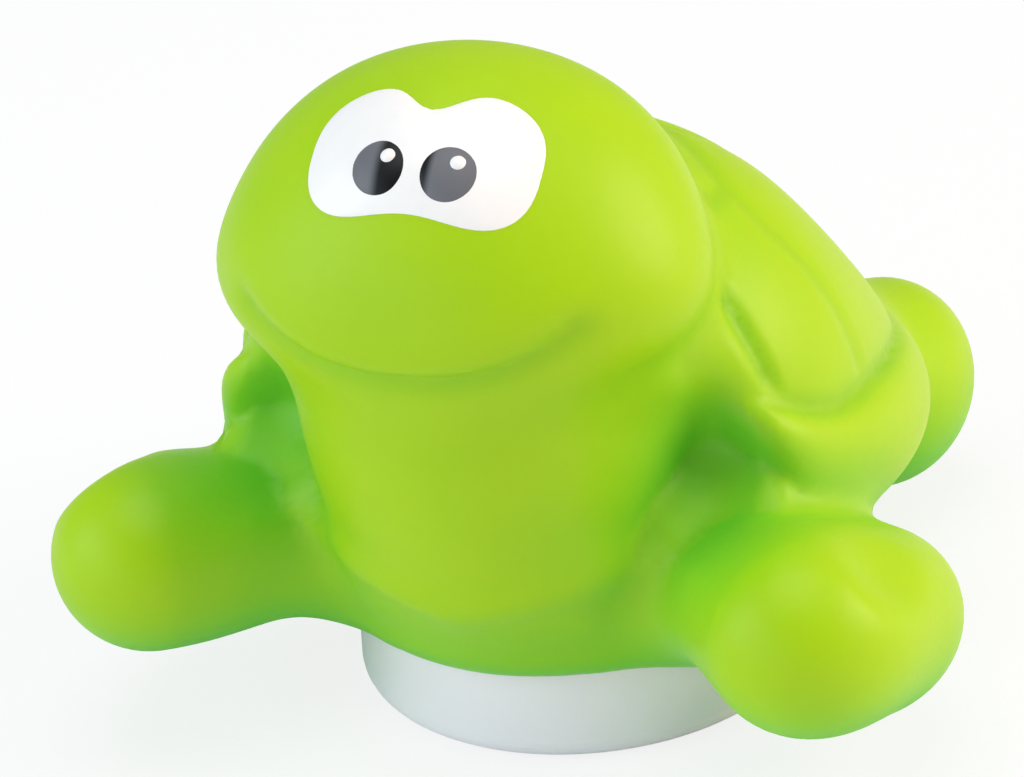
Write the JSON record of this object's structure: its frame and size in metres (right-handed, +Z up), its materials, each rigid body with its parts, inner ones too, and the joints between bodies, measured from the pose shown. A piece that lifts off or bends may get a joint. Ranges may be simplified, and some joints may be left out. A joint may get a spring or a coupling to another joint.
{
  "type": "squeaky bath toy",
  "caption": "Soft hollow vinyl sea turtle bath toy on a round weighted hard base; pressing it down pumps air through a reed squeaker in the base",
  "frame": {"origin": "the middle of the flat ring the base stands on", "axes": "+Z up through the base, the turtle looks along -Y, its left side is +X"},
  "size_m": [0.1052, 0.1007, 0.0852],
  "materials": {
    "green_vinyl": "satin soft vinyl",
    "white_paint": "sprayed enamel film",
    "grey_paint": "printed enamel film",
    "white_plastic": "satin moulded",
    "screw_steel": "zinc plated",
    "gasket_rubber": "moulded",
    "ballast_steel": "zinc plated",
    "squeaker_plastic": "moulded",
    "reed_brass": "rolled strip"
  },
  "bodies": {
    "base": {"base_cup": "white_plastic", "bottom_cover": "white_plastic", "cover_screws": "screw_steel", "cover_gasket": "gasket_rubber", "ballast_ring": "ballast_steel", "squeaker_housing": "squeaker_plastic", "reed_bed": "squeaker_plastic", "reed_wedge": "squeaker_plastic", "squeaker_cap": "squeaker_plastic", "belly_cuff": "green_vinyl"},
    "turtle": {"vinyl_skin": "green_vinyl", "eye_whites": "white_paint", "pupils": "grey_paint", "pupil_glints": "white_paint"},
    "reed": {"reed": "reed_brass"}
  },
  "joints": [
    {"name": "squeeze", "type": "slide", "parent": "base", "child": "turtle", "axis": [0, 0, -1], "range_m": [0, 0.004], "stiffness_N_per_m": 1500, "deforming": ["belly_cuff"]},
    {"name": "reed_flutter", "type": "hinge", "parent": "base", "child": "reed", "pos_m": [0.00035, 0, 0.0084], "axis": [0, 1, 0], "range_deg": [0, 4], "stiffness_Nm_per_rad": 0.0001}
  ]
}
